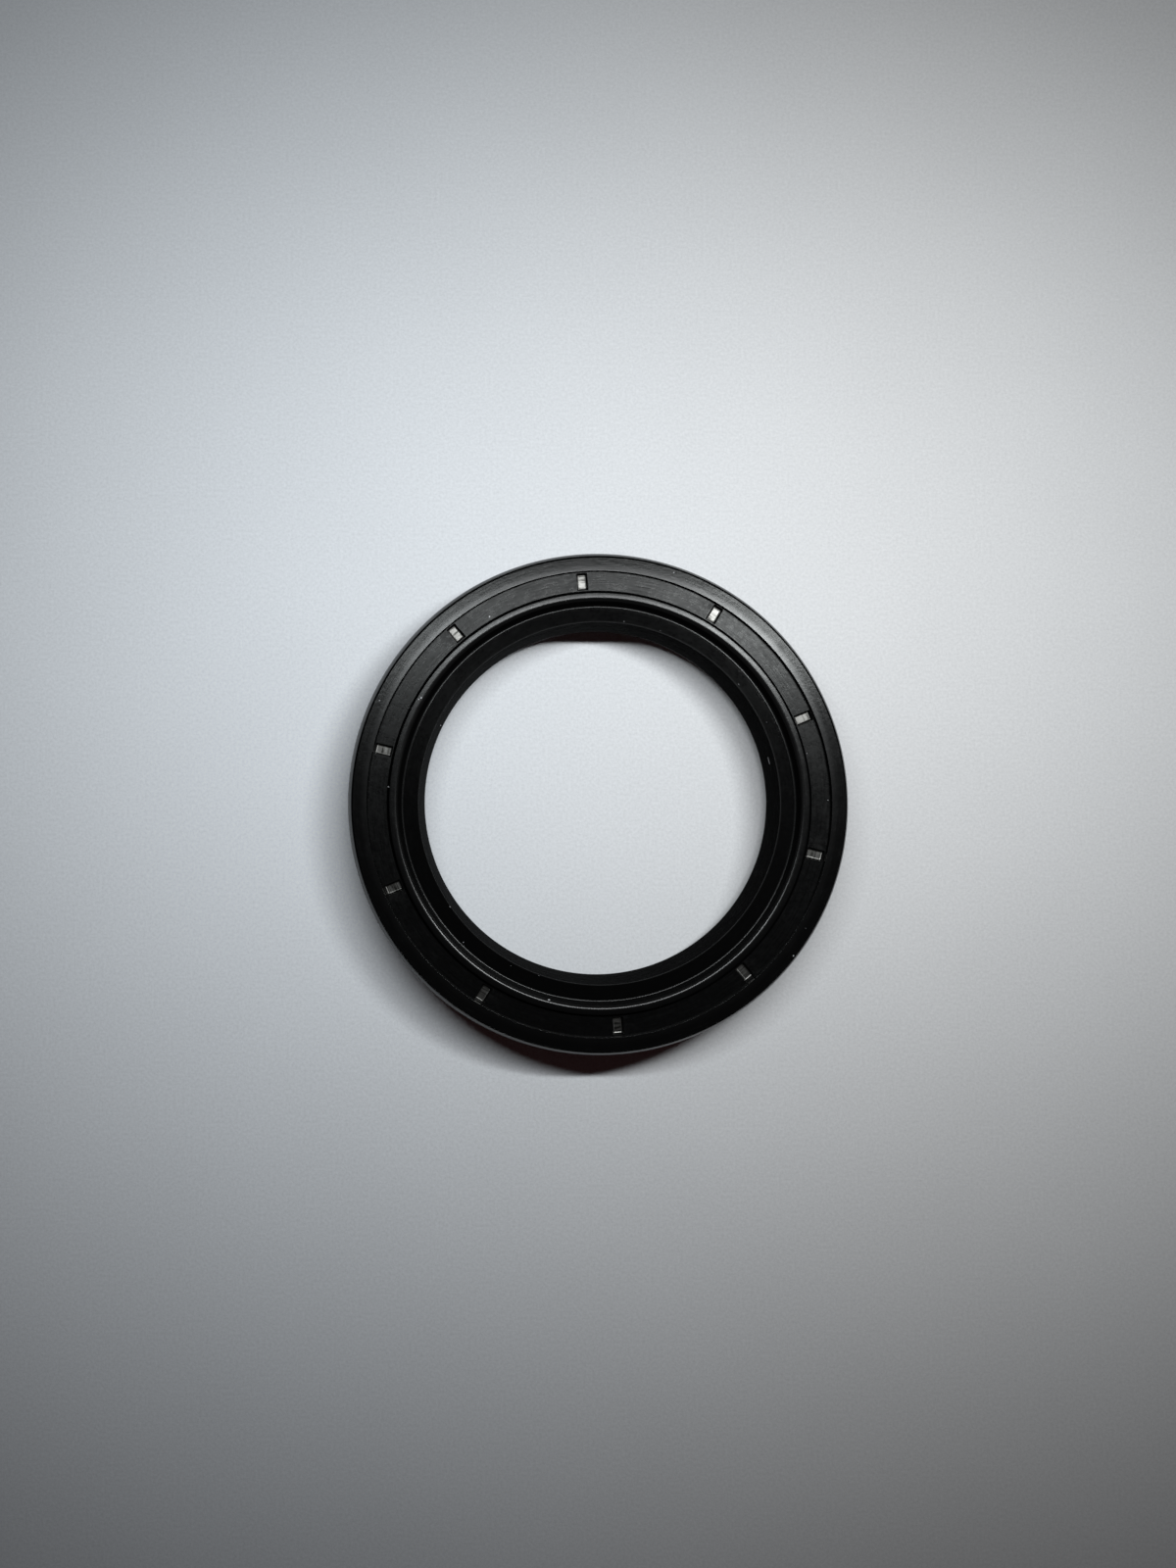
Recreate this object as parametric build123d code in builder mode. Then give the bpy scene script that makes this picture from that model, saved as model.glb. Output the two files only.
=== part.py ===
from build123d import *
from math import radians, sin, tan
import os

# Double-lip radial shaft seal: a rubber moulding on a steel case, with a garter spring.
# Sizes are in millimetres. The seal turns about Z. Its front, on the oil side, stands on
# z = 0, and its back, on the air side, is at z = seal_width. Every section is drawn in the
# XZ plane, as radius against height, and revolved about Z.

# Space that the seal fills
shaft_diameter = 40.0
radial_space = 7.5  # from the shaft's surface to the housing bore
seal_width = 7.0

# Rubber covering on the outside
press_allowance = 0.3  # on the diameter, over the housing bore
front_chamfer_length = 1.5
front_chamfer_angle = 25.0  # from the axis
crest_inset = 0.57  # from the covering's outside to the crest at the back's outer edge
crest_drop = 0.15  # from the back face down to the crest
shoulder_angle = 30.0  # from the axis, where the round shoulder reaches the crest
shoulder_fill = 0.9  # share of the crest's inset that the round shoulder takes up
trim_groove_width = 0.16  # sharp groove between the crest and the rim
trim_groove_depth = 0.2
rib_groove_width = 0.38
rib_groove_depth = 0.15
rib_pitch = 0.7

# Back face: outer rim, recess with its windows, inner bead. All three fall a little outward.
rim_width = 1.49
rim_land = 0.12  # level edge beside the recess, the highest part of the back
rim_slope = 3.0  # from there outward
recess_depth = 0.4  # at the bead
recess_draft = 0.08  # how far the recess's outer wall leans in at its foot
floor_slope = 2.0
bead_stand_off = 3.0  # from the shaft's surface to the bead's outer side
bead_width = 0.78
bead_crown_inset = 0.3  # from the bead's outer side to the place where its slope changes
bead_outer_slope = 4.2
bead_inner_slope = 1.8
foot_groove_width = 0.28  # sharp groove at the bead's foot
foot_groove_depth = 0.18
window_count = 10
window_width = 1.24  # at the recess floor
window_floor_width = 0.86  # at the steel
window_bead_gap = 0.06  # recess floor left between a window and the bead's groove
window_wall_gap = 0.04  # and between a window and the recess's outer wall
window_inner_slope = 0.23  # how far the window's end walls lean in on their way to the steel
window_outer_slope = 0.19
window_corner_round = 0.1
window_start_angle = 22.5

# Steel case: one pressed ring with an L section
sheet = 0.9
bend_radius = 1.5  # outside of the bend
case_cover = 1.2  # rubber between the case and the outside
back_skin = 0.6  # rubber between the recess floor and the case
front_skin = 0.7
cavity_skin = 0.35  # rubber on the case, inside the oil cavity
case_stand_off = 2.75  # from the shaft's surface to the case's inner edge

# Dust lip and the groove behind it
dust_lip_squeeze = 0.4  # on the diameter, under the shaft
dust_lip_drop = 0.3  # from the back face to the lip's tip
dust_lip_tip = 0.12
root_stand_off = 1.66  # from the shaft's surface to the groove's root
root_drop = 0.93
heel_stand_off = 1.1  # hollow between the two lips
heel_drop = 2.6

# Sealing lip
lip_squeeze = 1.34  # on the diameter, under the shaft
lip_land = 0.16  # narrow cylinder that touches the shaft
nose_length = 1.45  # head past the sealing edge, towards the front
nose_angle = 42.0  # oil side of the edge, from the axis
neck_length = 1.0  # membrane between the head and the roof of the oil cavity
neck_thickness = 0.75  # of the membrane, along a radius

# Garter spring and its groove
coil_diameter = 1.6
groove_clearance = 0.03
spring_stand_off = 1.25  # from the shaft's surface to the coil's centre line
spring_offset = 0.35  # coil centre towards the back, from the sealing edge
groove_depth_past_centre = 0.6
head_shoulder = 1.2  # head past the coil's centre, towards the back

# Roundings
crest_round = 0.04
rim_outer_round = 0.05
rim_inner_round = 0.02
bead_outer_round = 0.08
bead_inner_round = 0.45
root_round = 0.25
tip_round = 0.05
heel_round = 0.4
neck_round = 0.1
head_round = 0.2
mouth_round = 0.1
rib_round = 0.05
sheet_round = 0.1
front_round = 0.15

# Radii and heights that follow from them
shaft_radius = shaft_diameter / 2
cover_radius = shaft_radius + radial_space + press_allowance / 2
front_edge_radius = cover_radius - front_chamfer_length * tan(radians(front_chamfer_angle))

crest_radius = cover_radius - crest_inset
crest_height = seal_width - crest_drop
shoulder_corner_height = crest_height - crest_inset / tan(radians(shoulder_angle))
shoulder_run = shoulder_fill * crest_inset / sin(radians(shoulder_angle))
shoulder_round = shoulder_run / tan(radians(shoulder_angle / 2))
ribbed_top = shoulder_corner_height - shoulder_run

trim_groove_bottom = (crest_radius - trim_groove_width / 2, crest_height - trim_groove_depth)
rim_outer_radius = crest_radius - trim_groove_width
recess_outer_radius = rim_outer_radius - rim_width
rim_land_radius = recess_outer_radius + rim_land
rim_outer_height = seal_width - (rim_width - rim_land) * tan(radians(rim_slope))

bead_outer_radius = shaft_radius + bead_stand_off
bead_inner_radius = bead_outer_radius - bead_width
bead_crown_radius = bead_outer_radius - bead_crown_inset
bead_crown_run = bead_width - bead_crown_inset
bead_crown_height = seal_width - bead_crown_run * tan(radians(bead_inner_slope))
bead_outer_height = bead_crown_height - bead_crown_inset * tan(radians(bead_outer_slope))

recess_height = seal_width - recess_depth
recess_inner_radius = bead_outer_radius + foot_groove_width
recess_foot_radius = recess_outer_radius - recess_draft
recess_width = recess_foot_radius - recess_inner_radius
recess_foot_height = recess_height - recess_width * tan(radians(floor_slope))

rib_groove_radius = (rib_groove_width**2 / 4 + rib_groove_depth**2) / (2 * rib_groove_depth)
rib_groove_centre = cover_radius + rib_groove_radius - rib_groove_depth
ribbed_length = ribbed_top - front_chamfer_length
ribbed_middle = front_chamfer_length + ribbed_length / 2
rib_groove_count = 1 + int((ribbed_length - rib_groove_width) / rib_pitch)

case_radius = cover_radius - case_cover
case_inner_radius = shaft_radius + case_stand_off
case_top = recess_height - back_skin
cavity_radius = case_radius - sheet - cavity_skin
cavity_roof = case_top - sheet - cavity_skin

neck_height = cavity_roof - neck_length
spring_height = neck_height - head_shoulder
spring_radius = shaft_radius + spring_stand_off
coil_radius = coil_diameter / 2
groove_radius = coil_radius + groove_clearance
head_radius = spring_radius + groove_depth_past_centre
lip_height = spring_height - spring_offset
lip_radius = shaft_radius - lip_squeeze / 2
nose_height = lip_height - nose_length
nose_radius = lip_radius + nose_length * tan(radians(nose_angle))
dust_lip_radius = shaft_radius - dust_lip_squeeze / 2

heel_point = (shaft_radius + heel_stand_off, seal_width - heel_drop)
land_top = (lip_radius, lip_height + lip_land / 2)
land_foot = (lip_radius, lip_height - lip_land / 2)


def inner_face_radius(height):
    """Radius of the sealing lip's air side at a height, on its straight run up to the heel."""
    run = (height - land_top[1]) / (heel_point[1] - land_top[1])
    return land_top[0] + run * (heel_point[0] - land_top[0])


# Steel case, from its inner edge round the outside of the bend and back along the inside
case_corners = [
    (case_inner_radius, case_top, sheet_round),
    (case_radius, case_top, bend_radius),
    (case_radius, front_skin, sheet_round),
    (case_radius - sheet, front_skin, sheet_round),
    (case_radius - sheet, case_top - sheet, bend_radius - sheet),
    (case_inner_radius, case_top - sheet, sheet_round),
]

with BuildPart() as steel_case:
    with BuildSketch(Plane.XZ):
        with BuildLine():
            FilletPolyline(
                *[(radius, height) for radius, height, _ in case_corners],
                radius=[rounding for *_, rounding in case_corners],
                close=True,
            )
        make_face()
    revolve(axis=Axis.Z)

# Garter spring, as the ring that its closed coil fills
with BuildPart() as garter_spring:
    with BuildSketch(Plane.XZ):
        with Locations((spring_radius, spring_height)):
            Circle(coil_radius)
    revolve(axis=Axis.Z)

# Mould pin that holds the case while the rubber flows, and leaves one window. It tapers
# from the recess floor to the steel and ends inside the sheet, so no rubber film is left.
pin_height = back_skin + sheet / 2
taper = pin_height / back_skin
pin_inner_radius = recess_inner_radius + window_bead_gap
pin_outer_radius = recess_foot_radius - window_wall_gap
pin_length = pin_outer_radius - pin_inner_radius
pin_tip_inner_radius = pin_inner_radius + taper * window_inner_slope
pin_tip_length = pin_length - taper * (window_inner_slope + window_outer_slope)
pin_tip_width = window_width - taper * (window_width - window_floor_width)

with BuildPart() as mould_pin:
    with BuildSketch(Plane.XY.offset(recess_height)):
        with Locations((pin_inner_radius + pin_length / 2, 0)):
            RectangleRounded(pin_length, window_width, window_corner_round)
    with BuildSketch(Plane.XY.offset(recess_height - pin_height)):
        with Locations((pin_tip_inner_radius + pin_tip_length / 2, 0)):
            RectangleRounded(pin_tip_length, pin_tip_width, window_corner_round)
    loft()

# Rubber moulding, up the outside, across the back, round both lips and the oil cavity
body_corners = [
    (front_edge_radius, 0, front_round),
    (cover_radius, front_chamfer_length, front_round),
    (cover_radius, shoulder_corner_height, shoulder_round),
    (crest_radius, crest_height, crest_round),
    (*trim_groove_bottom, 0),
    (rim_outer_radius, rim_outer_height, rim_outer_round),
    (rim_land_radius, seal_width, 0),
    (recess_outer_radius, seal_width, rim_inner_round),
    (recess_foot_radius, recess_foot_height, 0),
    (recess_inner_radius, recess_height, 0),
    (bead_outer_radius + foot_groove_width / 2, recess_height - foot_groove_depth, 0),
    (bead_outer_radius, bead_outer_height, bead_outer_round),
    (bead_crown_radius, bead_crown_height, 0),
    (bead_inner_radius, seal_width, bead_inner_round),
    (shaft_radius + root_stand_off, seal_width - root_drop, root_round),
    (dust_lip_radius, seal_width - dust_lip_drop, tip_round),
    (dust_lip_radius, seal_width - dust_lip_drop - dust_lip_tip, tip_round),
    (*heel_point, heel_round),
    (*land_top, 0),
    (*land_foot, 0),
    (nose_radius, nose_height, head_round),
    (head_radius, nose_height, head_round),
    (head_radius, neck_height, head_round),
    (inner_face_radius(neck_height) + neck_thickness, neck_height, neck_round),
    (heel_point[0] + neck_thickness, cavity_roof, heel_round),
    (cavity_radius, cavity_roof, heel_round),
    (cavity_radius, 0, front_round),
]

with BuildPart() as elastomer_body:
    with BuildSketch(Plane.XZ) as section:
        with BuildLine():
            FilletPolyline(
                *[(radius, height) for radius, height, _ in body_corners],
                radius=[rounding for *_, rounding in body_corners],
                close=True,
            )
        make_face()
        with Locations((spring_radius, spring_height)):
            Circle(groove_radius, mode=Mode.SUBTRACT)
        with Locations((rib_groove_centre, ribbed_middle)):
            with GridLocations(0, rib_pitch, 1, rib_groove_count):
                Circle(rib_groove_radius, mode=Mode.SUBTRACT)
        groove_mouth = section.vertices().sort_by_distance((spring_radius, spring_height))[:2]
        fillet(groove_mouth, mouth_round)
        rib_edges = section.vertices().sort_by_distance((rib_groove_centre, ribbed_middle))
        fillet(rib_edges[: 2 * rib_groove_count], rib_round)
    revolve(axis=Axis.Z)
    add(steel_case.part, mode=Mode.SUBTRACT)
    with PolarLocations(0, window_count, start_angle=window_start_angle):
        add(mould_pin.part, mode=Mode.SUBTRACT)

elastomer_body.part.label = "elastomer_body"
steel_case.part.label = "steel_case"
garter_spring.part.label = "garter_spring"

os.makedirs("parts", exist_ok=True)
export_step(elastomer_body.part, "parts/elastomer_body.step")
export_step(steel_case.part, "parts/steel_case.step")
export_step(garter_spring.part, "parts/garter_spring.step")
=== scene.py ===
from math import atan2, ceil, cos, degrees, pi, radians, sin, sqrt, tan

import bpy
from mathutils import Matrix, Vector


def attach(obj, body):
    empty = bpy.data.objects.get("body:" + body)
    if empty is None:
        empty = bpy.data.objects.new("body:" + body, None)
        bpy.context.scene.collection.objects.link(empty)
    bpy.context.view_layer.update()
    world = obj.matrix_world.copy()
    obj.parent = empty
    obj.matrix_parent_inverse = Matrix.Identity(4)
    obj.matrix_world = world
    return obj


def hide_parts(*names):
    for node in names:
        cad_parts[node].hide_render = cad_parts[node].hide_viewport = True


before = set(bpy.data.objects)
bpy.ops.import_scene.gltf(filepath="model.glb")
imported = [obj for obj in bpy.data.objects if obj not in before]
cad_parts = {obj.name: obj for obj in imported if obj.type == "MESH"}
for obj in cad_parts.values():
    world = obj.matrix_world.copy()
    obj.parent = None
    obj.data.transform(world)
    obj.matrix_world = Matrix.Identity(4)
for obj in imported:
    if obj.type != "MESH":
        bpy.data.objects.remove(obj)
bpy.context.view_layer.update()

# Looks of a double-lip radial shaft seal: a rubber moulding on a steel case, with a garter
# spring. Sizes are in millimetres, carry the names that the part's source gives them, and
# become metres at MM.
MM = 0.001

# Space that the seal fills
shaft_radius = 20.0
radial_space = 7.5
seal_width = 7.0

# Rubber covering on the outside
press_allowance = 0.3
cover_radius = shaft_radius + radial_space + press_allowance / 2
front_chamfer_length = 1.5
front_chamfer_angle = radians(25)
crest_drop = 0.15
crest_inset = 0.57
shoulder_angle = radians(30)
shoulder_fill = 0.9
trim_groove_width = 0.16
trim_groove_depth = 0.2
rib_groove_width = 0.38
rib_groove_depth = 0.15
rib_pitch = 0.7

# Back face
rim_width = 1.49
rim_slope = radians(3)
recess_depth = 0.4
recess_draft = 0.08
floor_slope = radians(2)
bead_stand_off = 3.0
bead_width = 0.78
bead_crown_inset = 0.3
bead_outer_slope = radians(4.2)
bead_inner_slope = radians(1.8)
foot_groove_width = 0.28
foot_groove_depth = 0.18
window_count = 10
window_start_angle = radians(22.5)
window_width = 1.24
window_floor_width = 0.86
window_bead_gap = 0.06
window_wall_gap = 0.04
window_inner_slope = 0.23
window_outer_slope = 0.19
window_corner_round = 0.1

# Steel case
sheet = 0.9
bend_radius = 1.5
case_cover = 1.2
back_skin = 0.6
front_skin = 0.7
cavity_skin = 0.35
case_stand_off = 2.75

# Lips
dust_lip_squeeze = 0.4
dust_lip_drop = 0.3
dust_lip_tip = 0.12
root_stand_off = 1.66
root_drop = 0.93
heel_stand_off = 1.1
heel_drop = 2.6
lip_squeeze = 1.34
lip_land = 0.16
nose_length = 1.45
nose_angle = radians(42)
neck_length = 1.0
neck_thickness = 0.75

# Garter spring and its groove
coil_radius = 0.8
wire_radius = 0.15
coil_turns = 417
groove_clearance = 0.03
groove_radius = coil_radius + groove_clearance
spring_stand_off = 1.25
spring_offset = 0.35
groove_depth_past_centre = 0.6
head_shoulder = 1.2

# Roundings
crest_round = 0.04
rim_outer_round = 0.05
rim_inner_round = 0.02
bead_outer_round = 0.08
bead_inner_round = 0.45
root_round = 0.25
tip_round = 0.05
heel_round = 0.4
neck_round = 0.1
head_round = 0.2
mouth_round = 0.1
rib_round = 0.05
sheet_round = 0.1
front_round = 0.15

# Radii and heights that follow
front_edge_radius = cover_radius - front_chamfer_length * tan(front_chamfer_angle)
crest_radius = cover_radius - crest_inset
crest_height = seal_width - crest_drop
shoulder_corner_height = crest_height - crest_inset / tan(shoulder_angle)
shoulder_run = shoulder_fill * crest_inset / sin(shoulder_angle)
shoulder_round = shoulder_run / tan(shoulder_angle / 2)
cover_top = shoulder_corner_height - shoulder_run
rib_groove_radius = (rib_groove_width**2 / 4 + rib_groove_depth**2) / (2 * rib_groove_depth)
rib_groove_centre = cover_radius + rib_groove_radius - rib_groove_depth
rib_groove_count = 1 + int((cover_top - front_chamfer_length - rib_groove_width) / rib_pitch)
rim_outer_radius = crest_radius - trim_groove_width
recess_outer_radius = rim_outer_radius - rim_width
recess_height = seal_width - recess_depth
bead_outer_radius = shaft_radius + bead_stand_off
bead_inner_radius = bead_outer_radius - bead_width
floor_inner_radius = bead_outer_radius + foot_groove_width
floor_outer_radius = recess_outer_radius - recess_draft
case_radius = cover_radius - case_cover
case_inner_radius = shaft_radius + case_stand_off
case_top = recess_height - back_skin
cavity_radius = case_radius - sheet - cavity_skin
cavity_roof = case_top - sheet - cavity_skin
neck_height = cavity_roof - neck_length
spring_height = neck_height - head_shoulder
spring_radius = shaft_radius + spring_stand_off
head_radius = spring_radius + groove_depth_past_centre
lip_height = spring_height - spring_offset
lip_radius = shaft_radius - lip_squeeze / 2
nose_height = lip_height - nose_length
nose_radius = lip_radius + nose_length * tan(nose_angle)
dust_lip_radius = shaft_radius - dust_lip_squeeze / 2
dust_lip_height = seal_width - dust_lip_drop
root_radius = shaft_radius + root_stand_off
root_height = seal_width - root_drop
heel_point = (shaft_radius + heel_stand_off, seal_width - heel_drop)
window_inner_radius = floor_inner_radius + window_bead_gap
window_outer_radius = floor_outer_radius - window_wall_gap
pin_mark_inner = window_inner_radius + window_inner_slope
pin_mark_outer = window_outer_radius - window_outer_slope
pin_mark_radius = (pin_mark_inner + pin_mark_outer) / 2
pin_mark_length = pin_mark_outer - pin_mark_inner
land_top = (lip_radius, lip_height + lip_land / 2)
land_foot = (lip_radius, lip_height - lip_land / 2)

# Fineness of the meshes
arc_step = 16.0  # degrees
arc_length = 0.25
support_gap = 0.03
least_bend, most_bend = radians(4), radians(28)
steps_round_axis = 240
steps_a_pin_corner = 4
steps_a_turn = 10
steps_round_wire = 6
speck_subdivisions = 3


# ---------------------------------------------------------------- sections

def arc(centre, radius, start, end):
    """Points of a round stretch about a centre, from one angle to another, in degrees."""
    steps = max(2, ceil(abs(end - start) / arc_step))
    angles = [radians(start + (end - start) * step / steps) for step in range(steps + 1)]
    return [(centre[0] + radius * cos(a), centre[1] + radius * sin(a), 0) for a in angles]


def round_groove(wall, middle, radius, rounding):
    """A round groove in an upright wall, from its lower mouth up to its upper mouth."""
    offset = middle[0] - wall + rounding
    rise = sqrt((radius + rounding) ** 2 - offset**2)
    facing = degrees(atan2(rise, offset))
    lower_mouth = arc((wall - rounding, middle[1] - rise), rounding, 0, facing)
    upper_mouth = arc((wall - rounding, middle[1] + rise), rounding, -facing, 0)
    return lower_mouth + arc(middle, radius, facing - 180, -180 - facing)[1:-1] + upper_mouth


def rounded(corners):
    """A closed outline of (radius, height, rounding) corners as points, with round corners."""
    points = []
    for place, (radius, height, rounding) in enumerate(corners):
        corner = Vector((radius, height))
        if not rounding:
            points.append(corner)
            continue
        to_last = (Vector(corners[place - 1][:2]) - corner).normalized()
        to_next = (Vector(corners[(place + 1) % len(corners)][:2]) - corner).normalized()
        opening = to_last.angle(to_next)
        centre = corner + (to_last + to_next).normalized() * rounding / sin(opening / 2)
        first = corner + to_last * rounding / tan(opening / 2) - centre
        last = corner + to_next * rounding / tan(opening / 2) - centre
        turn = pi - opening
        steps = max(2, ceil(degrees(turn) / arc_step), ceil(turn * rounding / arc_length))
        for step in range(steps + 1):
            share = turn * step / steps
            points.append(centre + (first * sin(turn - share) + last * sin(share)) / sin(turn))
    return points


def supported(points):
    """Adds a point near the end of each straight run that leads into a rounding, which keeps
    the run's shading flat."""
    finished = []
    for place, start in enumerate(points):
        end = points[(place + 1) % len(points)]
        run = end - start
        along = run.normalized()
        bend_before = (start - points[place - 1]).angle(run)
        bend_after = run.angle(points[(place + 2) % len(points)] - end)
        finished.append(start)
        if run.length < 4 * support_gap:
            continue
        if least_bend < bend_before < most_bend:
            finished.append(start + along * support_gap)
        if least_bend < bend_after < most_bend:
            finished.append(end - along * support_gap)
    return finished


def membrane_radius(height):
    """Radius of the sealing lip's air side, on its straight run up to the heel."""
    run = (height - land_top[1]) / (heel_point[1] - land_top[1])
    return land_top[0] + run * (heel_point[0] - land_top[0])


def moulding_outline():
    """Outline of the rubber, up the outside, across the back, round both lips and the cavity."""
    ribbed_middle = (front_chamfer_length + cover_top) / 2
    ribs = []
    for number in range(rib_groove_count):
        height = ribbed_middle + (number - (rib_groove_count - 1) / 2) * rib_pitch
        middle = (rib_groove_centre, height)
        ribs += round_groove(cover_radius, middle, rib_groove_radius, rib_round)
    outside = [
        (front_edge_radius, 0, front_round),
        (cover_radius, front_chamfer_length, front_round),
        *ribs,
        (cover_radius, shoulder_corner_height, shoulder_round),
        (crest_radius, crest_height, crest_round),
        (crest_radius - trim_groove_width / 2, crest_height - trim_groove_depth, 0),
    ]
    rim_outer_height = seal_width - rim_width * tan(rim_slope)
    floor_width = floor_outer_radius - floor_inner_radius
    floor_outer_height = recess_height - floor_width * tan(floor_slope)
    bead_crown_height = seal_width - (bead_width - bead_crown_inset) * tan(bead_inner_slope)
    bead_outer_height = bead_crown_height - bead_crown_inset * tan(bead_outer_slope)
    back = [
        (rim_outer_radius, rim_outer_height, rim_outer_round),
        (recess_outer_radius, seal_width, rim_inner_round),
        (floor_outer_radius, floor_outer_height, 0),
        (floor_inner_radius, recess_height, 0),
        (bead_outer_radius + foot_groove_width / 2, recess_height - foot_groove_depth, 0),
        (bead_outer_radius, bead_outer_height, bead_outer_round),
        (bead_outer_radius - bead_crown_inset, bead_crown_height, 0),
        (bead_inner_radius, seal_width, bead_inner_round),
    ]
    lips = [
        (root_radius, root_height, root_round),
        (dust_lip_radius, dust_lip_height, tip_round),
        (dust_lip_radius, dust_lip_height - dust_lip_tip, tip_round),
        (*heel_point, heel_round),
        (*land_top, 0),
        (*land_foot, 0),
        (nose_radius, nose_height, head_round),
        (head_radius, nose_height, head_round),
        *round_groove(head_radius, (spring_radius, spring_height), groove_radius, mouth_round),
        (head_radius, neck_height, head_round),
    ]
    cavity = [
        (membrane_radius(neck_height) + neck_thickness, neck_height, neck_round),
        (heel_point[0] + neck_thickness, cavity_roof, heel_round),
        (cavity_radius, cavity_roof, heel_round),
        (cavity_radius, 0, front_round),
    ]
    return supported(rounded(outside + back + lips + cavity))


def case_outline():
    """Outline of the room that the steel case takes in the rubber."""
    return rounded([
        (case_inner_radius, case_top, sheet_round),
        (case_inner_radius, case_top - sheet, sheet_round),
        (case_radius - sheet, case_top - sheet, bend_radius - sheet),
        (case_radius - sheet, front_skin, sheet_round),
        (case_radius, front_skin, sheet_round),
        (case_radius, case_top, bend_radius),
    ])


# ---------------------------------------------------------------- node trees

class Value:
    """A node's socket that takes part in sums, so that 1 - mask adds its own Math node."""

    def __init__(self, graph, socket):
        self.graph, self.socket = graph, socket

    def sum_of(self, operation, first, second):
        return self.graph.node("ShaderNodeMath", {"operation": operation}, {0: first, 1: second})

    def __add__(self, other):
        return self.sum_of("ADD", self, other)

    __radd__ = __add__

    def __sub__(self, other):
        return self.sum_of("SUBTRACT", self, other)

    def __rsub__(self, other):
        return self.sum_of("SUBTRACT", other, self)

    def __mul__(self, other):
        return self.sum_of("MULTIPLY", self, other)

    __rmul__ = __mul__

    def __truediv__(self, other):
        return self.sum_of("DIVIDE", self, other)

    def __pow__(self, other):
        return self.sum_of("POWER", self, other)


class Graph:
    """A node tree, for a material, the world or Geometry Nodes."""

    def __init__(self, tree):
        self.tree = tree
        tree.nodes.clear()

    def node(self, kind, settings=None, inputs=None, output=0):
        """Adds a node. Its settings go first, then the values or links of its sockets, which
        go by their names, or by their numbers where names repeat."""
        made = self.tree.nodes.new(kind)
        for name, value in (settings or {}).items():
            setattr(made, name, value)
        for key, value in (inputs or {}).items():
            for one in value if isinstance(value, list) else [value]:
                if isinstance(one, Value):
                    self.tree.links.new(one.socket, made.inputs[key])
                else:
                    made.inputs[key].default_value = one
        return Value(self, made.outputs[output]) if len(made.outputs) else made

    def all_of(self, first):
        """Every output of the node that a first output belongs to, by name."""
        return {socket.name: Value(self, socket) for socket in first.socket.node.outputs}

    def maths(self, operation, *values):
        """Any other operation of the Math node."""
        return self.node("ShaderNodeMath", {"operation": operation}, dict(enumerate(values)))

    def scaled(self, vector, factor):
        inputs = {0: vector, "Scale": factor}
        return self.node("ShaderNodeVectorMath", {"operation": "SCALE"}, inputs)

    def length(self, vector):
        return self.node("ShaderNodeVectorMath", {"operation": "LENGTH"}, {0: vector}, "Value")

    def vector(self, x=0.0, y=0.0, z=0.0):
        return self.node("ShaderNodeCombineXYZ", inputs={"X": x, "Y": y, "Z": z})

    def parts_of(self, vector):
        """The x, y and z of a vector."""
        first = self.node("ShaderNodeSeparateXYZ", inputs={"Vector": vector})
        return self.all_of(first).values()

    def swept(self, path, profile, capped=False):
        """A profile swept along a path."""
        inputs = {"Curve": path, "Profile Curve": profile, "Fill Caps": capped}
        return self.node("GeometryNodeCurveToMesh", inputs=inputs)

    def noise(self, vector, scale, detail, roughness=0.5):
        inputs = {"Vector": vector, "Scale": scale, "Detail": detail, "Roughness": roughness}
        return self.node("ShaderNodeTexNoise", {"noise_dimensions": "3D"}, inputs)

    def ramp(self, value, low, high, to_low=0.0, to_high=1.0):
        """Carries a value smoothly from one range into another, and holds it at the ends."""
        inputs = {0: value, 1: low, 2: high, 3: to_low, 4: to_high}
        return self.node("ShaderNodeMapRange", {"interpolation_type": "SMOOTHSTEP"}, inputs)

    def between(self, value, low, high, rise, fall):
        """1 between two limits and 0 outside them, with a smooth rise and fall inside them."""
        return self.ramp(value, low, low + rise) * self.ramp(value, high - fall, high, 1.0, 0.0)

    def mixed(self, factor, first, second):
        """Mixes two colours."""
        inputs = {0: factor, 6: first, 7: second}
        return self.node("ShaderNodeMix", {"data_type": "RGBA"}, inputs, output=2)

    def bump(self, height, depth, normal=None):
        """Bump of a height between 0 and 1 that stands for a real depth in millimetres."""
        inputs = {"Strength": 1.0, "Distance": depth * MM, "Height": height}
        if normal is not None:
            inputs["Normal"] = normal
        return self.node("ShaderNodeBump", inputs=inputs)


def new_graph(name, inputs):
    """A Geometry Nodes tree with named inputs, and the values that the inputs give."""
    tree = bpy.data.node_groups.new(name, "GeometryNodeTree")
    tree.interface.new_socket("Geometry", in_out="OUTPUT", socket_type="NodeSocketGeometry")
    tree.interface.new_socket("Geometry", in_out="INPUT", socket_type="NodeSocketGeometry")
    kinds = {int: "Int", float: "Float", bpy.types.Material: "Material"}
    for label, value in inputs.items():
        kind = "NodeSocket" + kinds[type(value)]
        tree.interface.new_socket(label, in_out="INPUT", socket_type=kind)
    graph = Graph(tree)
    entry = tree.nodes.new("NodeGroupInput")
    return graph, {socket.name: Value(graph, socket) for socket in entry.outputs if socket.name}


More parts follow.
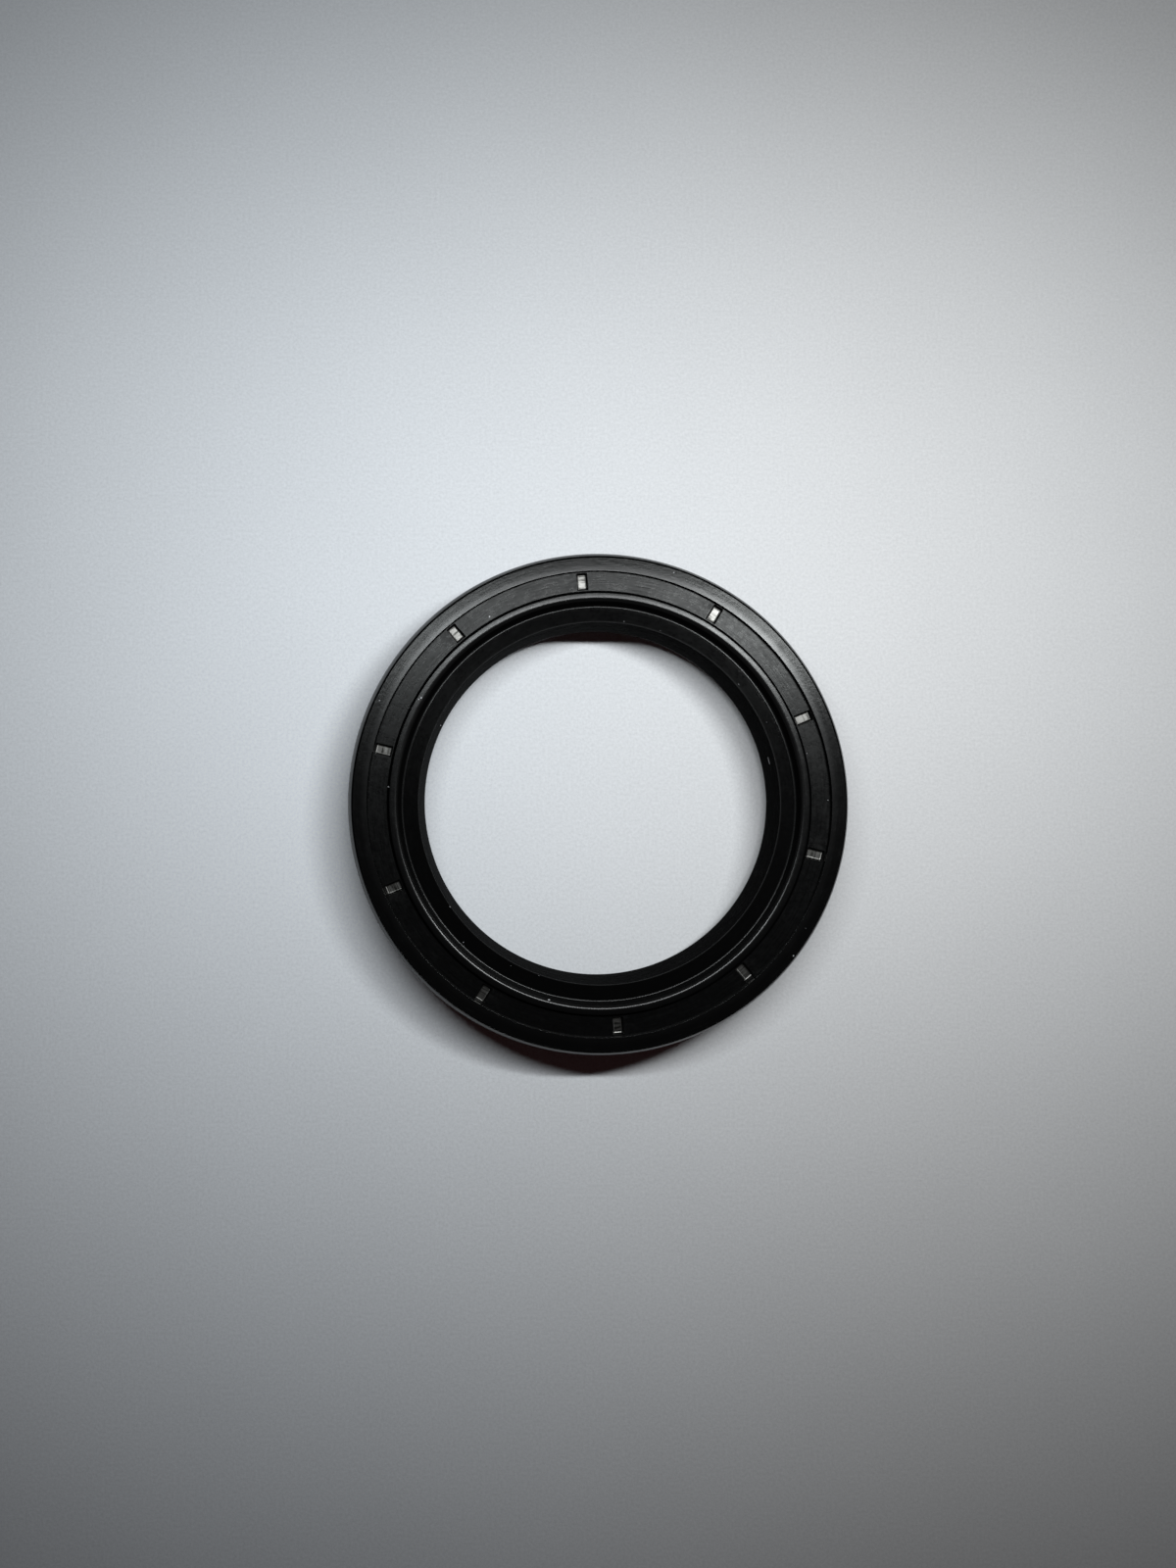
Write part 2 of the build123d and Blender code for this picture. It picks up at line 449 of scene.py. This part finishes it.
def grown(name, mesh, graph, inputs):
    """Runs a Geometry Nodes tree on a mesh, and gives the result as a plain mesh object."""
    seed = bpy.data.objects.new(name + "_seed", mesh)
    bpy.context.scene.collection.objects.link(seed)
    modifier = seed.modifiers.new("shape", "NODES")
    modifier.node_group = graph.tree
    for item in graph.tree.interface.items_tree:
        if item.in_out == "INPUT" and item.name in inputs:
            modifier[item.identifier] = inputs[item.name]
    evaluated = seed.evaluated_get(bpy.context.evaluated_depsgraph_get())
    plain = bpy.data.meshes.new_from_object(evaluated)
    seed.modifiers.clear()
    bpy.data.objects.remove(seed)
    plain.name = name
    plain.set_sharp_from_angle(angle=radians(30))
    piece = bpy.data.objects.new(name, plain)
    bpy.context.scene.collection.objects.link(piece)
    return piece


def finish_graph(graph, geometry, material):
    """Ends a Geometry Nodes tree: real geometry, smooth shading and the material."""
    real = graph.node("GeometryNodeRealizeInstances", inputs={"Geometry": geometry})
    smooth = graph.node("GeometryNodeSetShadeSmooth", {"domain": "FACE"},
                        {"Geometry": real, "Shade Smooth": True})
    inputs = {"Geometry": smooth, "Material": material}
    painted = graph.node("GeometryNodeSetMaterial", inputs=inputs)
    graph.node("NodeGroupOutput", inputs={"Geometry": painted})


# ---------------------------------------------------------------- pieces

def section_mesh(name, *outlines):
    """Outlines of radius and height as loops of edges in the XZ plane, run backwards so that
    their sweep faces outward. Attribute 'loop' numbers them."""
    points, edges, numbers = [], [], []
    for number, outline in enumerate(outlines):
        first = len(points)
        points += [(radius * MM, 0, height * MM) for radius, height in reversed(outline)]
        numbers += [number] * len(outline)
        edges += [(first + i, first + (i + 1) % len(outline)) for i in range(len(outline))]
    mesh = bpy.data.meshes.new(name)
    mesh.from_pydata(points, edges, [])
    mesh.attributes.new("loop", "INT", "POINT").data.foreach_set("value", numbers)
    return mesh


def turned(graph, section, loop, circle, base_radius):
    """One loop of the section swept round the axis, along a circle of the base radius."""
    number = graph.node("GeometryNodeInputNamedAttribute", {"data_type": "INT"},
                        {"Name": "loop"})
    chosen = graph.node("FunctionNodeCompare", {"data_type": "INT", "operation": "EQUAL"},
                        {"A": number, "B": loop})
    edges = graph.node("GeometryNodeSeparateGeometry", {"domain": "POINT"},
                       {"Geometry": section, "Selection": chosen})
    profile = graph.node("GeometryNodeMeshToCurve", inputs={"Mesh": edges})
    upright = graph.node("GeometryNodeTransform", inputs={
        "Geometry": profile, "Translation": (-base_radius, 0, 0), "Rotation": (pi / 2, 0, 0)})
    return graph.swept(circle, upright)


def rubber_moulding(rubber):
    """The rubber body: its section turned about the axis, less the case and the windows. The
    pins that cut the windows reach from just over the recess floor into the sheet."""
    mouth_rise = 0.05
    depth = mouth_rise + back_skin + sheet / 2
    slope = 1 / back_skin
    mouth_inner = window_inner_radius - mouth_rise * slope * window_inner_slope
    mouth_outer = window_outer_radius + mouth_rise * slope * window_outer_slope
    foot_inner = mouth_inner + depth * slope * window_inner_slope
    foot_outer = mouth_outer - depth * slope * window_outer_slope
    lean = slope * (window_width - window_floor_width)
    mouth_width = window_width + mouth_rise * lean
    inputs = {
        "Steps round the axis": steps_round_axis,
        "Windows": window_count,
        "First window": window_start_angle,
        "Window height": (recess_height + mouth_rise) * MM,
        "Window radius": (mouth_inner + mouth_outer) / 2 * MM,
        "Mouth length": (mouth_outer - mouth_inner) * MM,
        "Mouth width": mouth_width * MM,
        "Depth": depth * MM,
        "Foot radius": (foot_inner + foot_outer) / 2 * MM,
        "Foot length": (foot_outer - foot_inner) * MM,
        "Foot width": (mouth_width - depth * lean) * MM,
        "Corner round": window_corner_round * MM,
        "Rubber": rubber,
    }
    graph, given = new_graph("moulding turned about its axis", inputs)
    base_radius = shaft_radius * MM
    circle = graph.node("GeometryNodeCurvePrimitiveCircle", {"mode": "RADIUS"},
                        {"Resolution": given["Steps round the axis"], "Radius": base_radius})
    body = turned(graph, given["Geometry"], 0, circle, base_radius)
    case_room = turned(graph, given["Geometry"], 1, circle, base_radius)

    # One mould pin: a rounded oblong drawn down and made narrower at its foot
    oblong = graph.node("GeometryNodeCurvePrimitiveQuadrilateral", {"mode": "RECTANGLE"},
                        {"Width": given["Mouth length"], "Height": given["Mouth width"]})
    oblong = graph.node("GeometryNodeFilletCurve", {"mode": "POLY"},
                        {"Curve": oblong, "Count": steps_a_pin_corner,
                         "Radius": given["Corner round"]})
    path = graph.node("GeometryNodeCurvePrimitiveLine", {"mode": "POINTS"},
                      {"Start": graph.vector(z=0 - given["Depth"]), "End": (0, 0, 0)})
    pin = graph.swept(path, oblong, True)
    x, y, z = graph.parts_of(graph.node("GeometryNodeInputPosition"))
    narrowed = graph.vector(
        x * (given["Foot length"] / given["Mouth length"])
        + (given["Foot radius"] - given["Window radius"]),
        y * (given["Foot width"] / given["Mouth width"]),
        z,
    )
    is_foot = graph.maths("LESS_THAN", z, given["Depth"] * -0.5)
    pin = graph.node("GeometryNodeSetPosition", inputs={
        "Geometry": pin, "Selection": is_foot, "Position": narrowed})
    number = graph.node("GeometryNodeInputIndex")
    angle = given["First window"] + number * (2 * pi) / given["Windows"]
    places = graph.vector(given["Window radius"] * graph.maths("COSINE", angle),
                          given["Window radius"] * graph.maths("SINE", angle),
                          given["Window height"])
    points = graph.node("GeometryNodePoints",
                        inputs={"Count": given["Windows"], "Position": places})
    turns = graph.node("FunctionNodeEulerToRotation", inputs={"Euler": graph.vector(z=angle)})
    pins = graph.node("GeometryNodeInstanceOnPoints",
                      inputs={"Points": points, "Instance": pin, "Rotation": turns})
    pins = graph.node("GeometryNodeRealizeInstances", inputs={"Geometry": pins})
    cut = graph.node("GeometryNodeMeshBoolean", {"operation": "DIFFERENCE", "solver": "MANIFOLD"},
                     {"Mesh 1": body, "Mesh 2": [case_room, pins]})
    finish_graph(graph, cut, given["Rubber"])
    section = section_mesh("moulding_section", moulding_outline(), case_outline())
    return grown("rubber_moulding", section, graph, inputs)


def garter_coil(steel):
    """The garter spring: a wire closely wound in a coil that closes on itself."""
    inputs = {
        "Ring radius": spring_radius * MM,
        "Ring height": spring_height * MM,
        "Winding radius": (coil_radius - wire_radius) * MM,
        "Wire radius": wire_radius * MM,
        "Turns": coil_turns,
        "Steps a turn": steps_a_turn,
        "Steps round the wire": steps_round_wire,
        "Steel": steel,
    }
    graph, given = new_graph("wire wound along a ring", inputs)
    count = given["Turns"] * given["Steps a turn"]
    ring = graph.node("GeometryNodeCurvePrimitiveCircle", {"mode": "RADIUS"},
                      {"Resolution": count, "Radius": given["Ring radius"]})
    around = graph.node("GeometryNodeInputIndex") * (2 * pi) / count
    winding = around * given["Turns"]
    reach = given["Ring radius"] + given["Winding radius"] * graph.maths("COSINE", winding)
    height = given["Ring height"] + given["Winding radius"] * graph.maths("SINE", winding)
    place = graph.vector(reach * graph.maths("COSINE", around),
                         reach * graph.maths("SINE", around), height)
    wound = graph.node("GeometryNodeSetPosition", inputs={"Geometry": ring, "Position": place})
    thickness = graph.node("GeometryNodeCurvePrimitiveCircle", {"mode": "RADIUS"},
                           {"Resolution": given["Steps round the wire"],
                            "Radius": given["Wire radius"]})
    finish_graph(graph, graph.swept(wound, thickness), given["Steel"])
    return grown("garter_coil", bpy.data.meshes.new("coil_start"), graph, inputs)


def height_of_back(radius):
    """Height of the rubber's uppermost surface at a radius."""
    outline = moulding_outline()
    heights = []
    for start, end in zip(outline, outline[1:]):
        if start.x != end.x and min(start.x, end.x) <= radius <= max(start.x, end.x):
            heights.append(start.lerp(end, (radius - start.x) / (end.x - start.x)).y)
    return max(heights)


def lint_specks(lint):
    """Specks of lint that lie on the rubber. Each has its radius, its angle round the axis, its
    length and width, and the direction in which it lies; those on the sealing lip have their
    height instead of a radius. Angles are in degrees."""
    back_specks = [
        (23.67, 120.8, 0.21, 0.15, 81), (22.60, 149.9, 0.21, 0.15, 45),
        (22.76, 150.6, 0.17, 0.10, 60), (26.49, 155.4, 0.13, 0.09, 168),
        (23.20, 175.9, 0.26, 0.09, 135), (26.54, 72.1, 0.14, 0.12, 96),
        (20.05, 82.3, 0.08, 0.05, 6), (20.02, 70.5, 0.07, 0.04, 172),
        (20.08, 40.3, 0.16, 0.05, 135), (20.38, 25.6, 0.07, 0.04, 95),
        (23.44, 13.3, 0.08, 0.07, 27), (25.10, 0.6, 0.10, 0.07, 9),
        (19.90, 214.8, 0.18, 0.05, 130), (21.31, 225.7, 0.12, 0.07, 173),
        (20.24, 241.3, 0.06, 0.04, 20), (19.96, 250.4, 0.06, 0.05, 161),
        (22.12, 255.3, 0.25, 0.20, 12), (26.22, 328.6, 0.06, 0.05, 150),
        (26.82, 321.6, 0.15, 0.11, 64),
    ]
    lip_specks = [(3.1, 13.6, 0.95, 0.07, 103), (2.56, 153.9, 0.15, 0.11, 120)]
    specks = [(radius, height_of_back(radius), *rest) for radius, *rest in back_specks]
    specks += [(membrane_radius(height), height, *rest) for height, *rest in lip_specks]
    thickness = 0.05
    places = []
    for radius, height, angle, *_ in specks:
        around = radians(angle)
        places.append((radius * MM * cos(around), radius * MM * sin(around), height * MM))
    mesh = bpy.data.meshes.new("lint_places")
    mesh.from_pydata(places, [], [])
    sizes = []
    for *_, length, width, _ in specks:
        sizes += [length * MM, width * MM, thickness * MM]
    mesh.attributes.new("size", "FLOAT_VECTOR", "POINT").data.foreach_set("vector", sizes)
    turns = [radians(direction) for *_, direction in specks]
    mesh.attributes.new("turn", "FLOAT", "POINT").data.foreach_set("value", turns)
    inputs = {"Roughness of shape": 0.35, "Lint": lint}
    graph, given = new_graph("lint on the rubber", inputs)
    ball = graph.node("GeometryNodeMeshIcoSphere",
                      inputs={"Radius": 0.5, "Subdivisions": speck_subdivisions})
    attribute = "GeometryNodeInputNamedAttribute"
    size = graph.node(attribute, {"data_type": "FLOAT_VECTOR"}, {"Name": "size"})
    turn = graph.node(attribute, {"data_type": "FLOAT"}, {"Name": "turn"})
    turned_by = graph.node("FunctionNodeEulerToRotation", inputs={"Euler": graph.vector(z=turn)})
    flakes = graph.node("GeometryNodeInstanceOnPoints", inputs={
        "Points": given["Geometry"], "Instance": ball, "Rotation": turned_by, "Scale": size})
    flakes = graph.node("GeometryNodeRealizeInstances", inputs={"Geometry": flakes})
    place = graph.scaled(graph.node("GeometryNodeInputPosition"), 1 / MM)
    uneven = (graph.noise(place, 12.0, 2.0) - 0.5) * given["Roughness of shape"]
    swelling = 0.1
    out = graph.scaled(graph.node("GeometryNodeInputNormal"), uneven * swelling * MM)
    flakes = graph.node("GeometryNodeSetPosition", inputs={"Geometry": flakes, "Offset": out})
    finish_graph(graph, flakes, given["Lint"])
    return grown("lint_specks", mesh, graph, inputs)


# ---------------------------------------------------------------- materials

def new_material(name):
    """A material whose node tree is still empty."""
    material = bpy.data.materials.new(name)
    material.use_nodes = True
    return material, Graph(material.node_tree)


def finish_material(graph, inputs):
    """Ends a material with its surface shader."""
    shader = graph.node("ShaderNodeBsdfPrincipled", inputs=inputs)
    graph.node("ShaderNodeOutputMaterial", inputs={"Surface": shader})


def place_on_seal(graph):
    """The place in millimetres, as a vector and as x, y and z, and its distance from the
    axis."""
    place = graph.scaled(graph.node("ShaderNodeTexCoord", output="Object"), 1 / MM)
    x, y, z = graph.parts_of(place)
    radius = graph.length(graph.vector(x, y))
    return place, x, y, z, radius


def streaks(graph, x, y, z, radius, across, along):
    """Fine marks that run round the axis, with a frequency across them and one along them."""
    vector = graph.vector(x / radius * along, y / radius * along, (radius + z) * across)
    return graph.noise(vector, 1.0, 3.0, 0.6)


def along_from_window(graph, x, y, radius):
    """Distance in millimetres round the axis from the middle of the nearest window."""
    pitch = 2 * pi / window_count
    turn = graph.maths("ARCTAN2", y, x) - window_start_angle + pitch / 2 + 2 * pi
    return (graph.maths("MODULO", turn, pitch) - pitch / 2) * radius


def black_rubber():
    """Moulded nitrile rubber: black, semi-gloss, with turned mould marks, smudges where the
    rubber flowed past the pins, and light scuffs."""
    material, graph = new_material("black_rubber")
    place, x, y, z, radius = place_on_seal(graph)
    tool_marks = streaks(graph, x, y, z, radius, 3.6, 14.0)
    long_marks = streaks(graph, x, y, z, radius, 7.5, 7.0)
    patches = graph.noise(place, 0.45, 3.0)
    mottle = graph.noise(place, 2.2, 4.0, 0.65)
    grain = graph.noise(place, 9.0, 2.0)
    scuffed = graph.ramp(patches, 0.42, 0.68)

    # Zones of the section, each with soft ends
    recess = graph.between(
        radius, floor_inner_radius - 0.08, recess_outer_radius - 0.03, 0.1, 0.1)
    rim_edge = graph.between(
        radius, recess_outer_radius - 0.05, recess_outer_radius + 0.87, 0.08, 0.8)
    bead = graph.between(radius, bead_inner_radius - 0.02, bead_outer_radius + 0.1, 0.3, 0.5)
    bead_corner = graph.between(
        radius, bead_inner_radius - 0.22, bead_inner_radius + 0.18, 0.1, 0.15)
    root = graph.between(radius, root_radius - 0.21, root_radius + 0.1, 0.1, 0.08)
    lip_back = (graph.ramp(radius, root_radius - 0.36, root_radius - 0.06, 1.0, 0.0)
                * graph.ramp(z, root_height - 0.17, root_height - 0.02))
    tip = (graph.ramp(radius, dust_lip_radius + 0.04, dust_lip_radius + 0.18, 1.0, 0.0)
           * graph.ramp(z, dust_lip_height - 0.4, dust_lip_height - 0.2))
    cuts = (graph.ramp(radius, bead_outer_radius - 0.1, bead_outer_radius + 0.1)
            * graph.ramp(z, recess_height - 0.2, recess_height - 0.1, 1.0, 0.0))

    # Smudges on one side of each window, and scratches
    beside = along_from_window(graph, x, y, radius)
    smudge = recess * graph.between(beside, 0.4, 2.6, 0.3, 1.6) * graph.ramp(mottle, 0.4, 0.6)
    scratches = graph.ramp(tool_marks, 0.52, 0.72) * (0.35 + 0.65 * scuffed)

    polish = 0.42 * rim_edge + 0.3 * bead + 0.9 * bead_corner + 0.25 * root
    roughness = (0.234 + 0.05 * recess + 0.06 * lip_back + 0.2 * tip + 0.1 * cuts
                 + 0.05 * scratches + 0.03 * scuffed + 0.08 * smudge
                 + (0.1 + 0.13 * recess + 0.12 * bead + 0.14 * lip_back) * (mottle - 0.5)
                 + (0.08 + 0.11 * recess + 0.1 * bead) * (long_marks - 0.5))
    colour = graph.mixed(scratches * 0.5, (0.0019, 0.0019, 0.002, 1), (0.0035, 0.0035, 0.0036, 1))
    uneven = 1 - 0.85 * (bead_corner + root)
    normal = graph.bump(tool_marks, uneven * (0.007 + 0.009 * recess * (0.4 + scuffed)))
    normal = graph.bump(long_marks, uneven * 0.006, normal)
    normal = graph.bump(mottle, uneven * 0.012, normal)
    normal = graph.bump(grain, uneven * 0.003, normal)
    finish_material(graph, {
        "Base Color": colour,
        "Roughness": roughness,
        "Normal": normal,
        "Specular IOR Level": 0.18,
        "Specular Tint": (0.99, 1.0, 0.985, 1),
        "Coat Weight": polish,
        "Coat Roughness": 0.25,
    })
    return material


def pressed_steel():
    """Bare pressed sheet steel with drawing lines round the axis, painted far darker than bare
    steel so that its reflections come out dim, which is painted shade. The mould's pins leave a
    shallow dent with a raised edge in each window; that edge is painted brighter, partly as a
    rubbed edge and partly as a painted highlight."""
    material, graph = new_material("pressed_steel")
    place, x, y, z, radius = place_on_seal(graph)
    drawing = streaks(graph, x, y, z, radius, 5.0, 6.0)
    hairlines = streaks(graph, x, y, z, radius, 11.0, 9.0)
    grain = graph.noise(place, 7.0, 3.0, 0.6)
    dull = graph.ramp(streaks(graph, x, y, z, radius, 0.9, 14.0), 0.42, 0.62)
    # Darker colour along the strongest drawing marks.
    darker_drawing_lines = graph.ramp(drawing, 0.5, 0.55)

    side_gap = window_floor_width / 2 - graph.maths(
        "ABSOLUTE", along_from_window(graph, x, y, radius))
    end_gap = pin_mark_length / 2 - graph.maths("ABSOLUTE", radius - pin_mark_radius)
    edge_width = 0.08
    from_edge = graph.maths("MINIMUM", side_gap, end_gap)
    raised = graph.maths("MAXIMUM", 1 - from_edge / edge_width, 0.0)
    rubbed = graph.ramp(graph.noise(place, 0.11, 1.0), 0.4, 0.6, 0.3, 1.0)
    # Partly a rubbed edge, partly a painted highlight: the dent's ends, and faintly its sides,
    # get a much brighter steel colour.
    rubbed_edge_and_highlight = rubbed * graph.maths("MAXIMUM",
                                     graph.ramp(end_gap, 0.05, edge_width, 1.0, 0.0),
                                     graph.ramp(side_gap, 0.05, edge_width, 0.4, 0.0))

    # Painted shade: both steel colours are far darker than bare steel.
    colour = graph.mixed(dull, (0.165, 0.162, 0.154, 1), (0.095, 0.093, 0.088, 1))
    colour = graph.mixed(darker_drawing_lines * (0.6 + 0.4 * dull), colour, (0.018, 0.018, 0.016, 1))
    # Painted highlight over the rubbed edge.
    colour = graph.mixed(rubbed_edge_and_highlight, colour, (0.55, 0.54, 0.515, 1))
    roughness = 0.3 + 0.07 * dull + 0.1 * hairlines
    normal = graph.bump(raised, 0.03)
    normal = graph.bump(drawing, 0.014, normal)
    normal = graph.bump(hairlines, 0.004, normal)
    normal = graph.bump(grain, 0.004, normal)
    finish_material(graph, {
        "Base Color": colour, "Metallic": 1.0, "Roughness": roughness, "Normal": normal})
    return material


def spring_wire():
    """Drawn spring wire, grey and slightly oiled."""
    material, graph = new_material("spring_wire")
    place, *_ = place_on_seal(graph)
    drawn = graph.noise(place, 9.0, 4.0)
    tarnish = graph.ramp(graph.noise(place, 0.6, 3.0), 0.4, 0.7)
    colour = graph.mixed(tarnish, (0.46, 0.46, 0.46, 1), (0.3, 0.29, 0.28, 1))
    finish_material(graph, {
        "Base Color": colour,
        "Metallic": 1.0,
        "Roughness": 0.26 + 0.16 * drawn,
        "Normal": graph.bump(drawn, 0.002),
    })
    return material


def pale_lint():
    """Pale paper dust and lint."""
    material, graph = new_material("pale_lint")
    place, *_ = place_on_seal(graph)
    fluff = graph.noise(place, 14.0, 3.0)
    finish_material(graph, {
        "Base Color": graph.mixed(fluff, (0.5, 0.51, 0.53, 1), (0.68, 0.69, 0.71, 1)),
        "Roughness": 0.75 + 0.2 * fluff,
        "Normal": graph.bump(fluff, 0.01),
    })
    return material


# ---------------------------------------------------------------- stage

def paper():
    """Smooth white paper with light painted into its colour: a painted pool of the strip lamp's
    light that darkens away from a lit place near the seal, painted light that makes it paler on
    the left, and a painted cool tint of the left lamp that makes it bluer there. Far out it shows
    the bright surroundings."""
    material, graph = new_material("paper")
    place, x, y, _, radius = place_on_seal(graph)
    # Middle and reach of the painted pool of light.
    light_pool_x, light_pool_y = -14.5, -0.2
    reach_x, reach_y = 177.0, 124.0
    across = ((x - light_pool_x) / reach_x) ** 2.0
    along = ((y - light_pool_y) / reach_y) ** 2.0
    # Painted light and shade: the colour falls off away from the lit middle, as the lamp's light
    # does on the paper.
    painted_light_falloff = graph.maths("EXPONENT", 0 - across - along)
    fibres = graph.noise(place, 3.0, 5.0, 0.75)
    clouds = graph.noise(place, 0.07, 3.0)
    speckle = 0.735 + 0.48 * fibres + 0.04 * clouds
    # Painted light: the paper is painted paler on the left.
    painted_paler_left = graph.ramp(x, -65.0, 65.0, 1.14, 0.98)
    # Painted cool light: the paper is painted bluer on the left, as the cooler left lamp tints
    # it.
    painted_cool_tint_left = graph.ramp(x, -45.0, 45.0, 1.0, 0.0)
    level = graph.maths("MAXIMUM", painted_light_falloff, 0.3) * painted_paler_left * speckle
    colour = graph.node("ShaderNodeCombineColor", inputs={
        "Red": level * (0.876 - 0.032 * painted_cool_tint_left),
        "Green": level * 0.88,
        "Blue": level * (0.888 + 0.032 * painted_cool_tint_left),
    })
    surface = graph.node("ShaderNodeBsdfPrincipled", inputs={
        "Base Color": colour, "Roughness": 0.8, "Specular IOR Level": 0.2,
        "Normal": graph.bump(fibres, 0.02)})
    far = graph.ramp(radius, 112.0, 200.0) * seen_directly(graph)
    glow = graph.node("ShaderNodeEmission",
                      inputs={"Color": (0.45, 0.46, 0.48, 1), "Strength": 1.0})
    mixed = graph.node("ShaderNodeMixShader", inputs={0: far, 1: surface, 2: glow})
    graph.node("ShaderNodeOutputMaterial", inputs={"Surface": mixed})
    return material


def floor():
    """A large flat sheet of paper, just clear of the seal's front face."""
    ring_radii, height, steps = (200, 1000, 6000), -0.01, 96
    points, faces = [(0, 0, height * MM)], []
    for radius in ring_radii:
        points += [(radius * MM * cos(2 * pi * i / steps), radius * MM * sin(2 * pi * i / steps),
                    height * MM) for i in range(steps)]
    for i in range(steps):
        after = (i + 1) % steps
        faces.append((0, 1 + i, 1 + after))
        for ring in range(len(ring_radii) - 1):
            inner, outer = 1 + ring * steps, 1 + (ring + 1) * steps
            faces.append((inner + i, outer + i, outer + after, inner + after))
    mesh = bpy.data.meshes.new("paper_floor")
    mesh.from_pydata(points, [], faces)
    mesh.shade_smooth()
    mesh.materials.append(paper())
    sheet_of_paper = bpy.data.objects.new("paper_floor", mesh)
    bpy.context.scene.collection.objects.link(sheet_of_paper)


def strip_lamp(name, left, right, share, tint):
    """A length of the narrow strip lamp above the seal, towards +Y. Its share is the light
    that it gives for each millimetre."""
    low, high, height = 41.5, 48.5, 125.0
    lamp = bpy.data.lights.new(name, "AREA")
    lamp.shape = "RECTANGLE"
    lamp.size, lamp.size_y = (right - left) * MM, (high - low) * MM
    lamp.energy = share * (right - left)
    lamp.color = tint
    holder = bpy.data.objects.new(name, lamp)
    holder.location = ((left + right) / 2 * MM, (low + high) / 2 * MM, height * MM)
    bpy.context.scene.collection.objects.link(holder)


def seen_directly(graph):
    """1 for a ray that shows a background: from the camera, a reflection or clear glass."""
    rays = graph.all_of(graph.node("ShaderNodeLightPath"))
    seen = graph.maths("MAXIMUM", rays["Is Camera Ray"], rays["Is Glossy Ray"])
    return graph.maths("MAXIMUM", seen, rays["Is Transmission Ray"])


def surroundings():
    """A dim room round the strip lamp, with a little warm light. Its walls, as the rubber and
    the steel mirror them, are darker higher up."""
    world = bpy.data.worlds.new("dim_room")
    world.use_nodes = True
    graph = Graph(world.node_tree)
    *_, upward = graph.parts_of(graph.node("ShaderNodeTexCoord", output="Generated"))
    wall = graph.ramp(upward, 0.0, 0.5, 0.09, 0.03)
    seen = graph.node("ShaderNodeCombineColor", inputs={"Red": wall, "Green": wall, "Blue": wall})
    colour = graph.mixed(seen_directly(graph), (0.012, 0.0056, 0.0054, 1), seen)
    dim = graph.node("ShaderNodeBackground", inputs={"Color": colour, "Strength": 1.0})
    graph.node("ShaderNodeOutputWorld", inputs={"Surface": dim})
    bpy.context.scene.world = world


def camera():
    """Looks straight down on the back face, from slightly to the left."""
    picture_width, picture_height = 1200, 1600
    focal, middle = 1190.0, (513.9, 761.2)
    seen_from, turned_by = (-13.36, 0.67, 133.93), (2.451, -1.269, 0.093)
    view = bpy.data.cameras.new("camera")
    view.sensor_fit = "AUTO"
    view.sensor_width = 36.0
    view.lens = focal * view.sensor_width / picture_height
    view.shift_x = (picture_width / 2 - middle[0]) / picture_height
    view.shift_y = (middle[1] - picture_height / 2) / picture_height
    view.clip_start, view.clip_end = 0.005, 10.0
    holder = bpy.data.objects.new("camera", view)
    holder.location = Vector(seen_from) * MM
    holder.rotation_euler = [radians(angle) for angle in turned_by]
    bpy.context.scene.collection.objects.link(holder)
    bpy.context.scene.camera = holder


# ---------------------------------------------------------------- the seal

rubber, steel, wire = black_rubber(), pressed_steel(), spring_wire()

moulding = rubber_moulding(rubber)
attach(moulding, "root")
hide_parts("elastomer_body")

coil = garter_coil(wire)
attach(coil, "root")
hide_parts("garter_spring")

specks = lint_specks(pale_lint())
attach(specks, "root")

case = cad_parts["steel_case"]
case.data.materials.clear()
case.data.materials.append(steel)

floor()
strip_lamp("strip_left", -66.0, -10.0, 0.00084, (0.95, 1.0, 1.02))
strip_lamp("strip_middle", -10.0, 35.0, 0.00100, (0.98, 1.0, 1.02))
strip_lamp("strip_right", 35.0, 85.0, 0.00185, (0.965, 1.0, 1.01))
surroundings()
camera()

bpy.context.scene.view_settings.view_transform = "Standard"
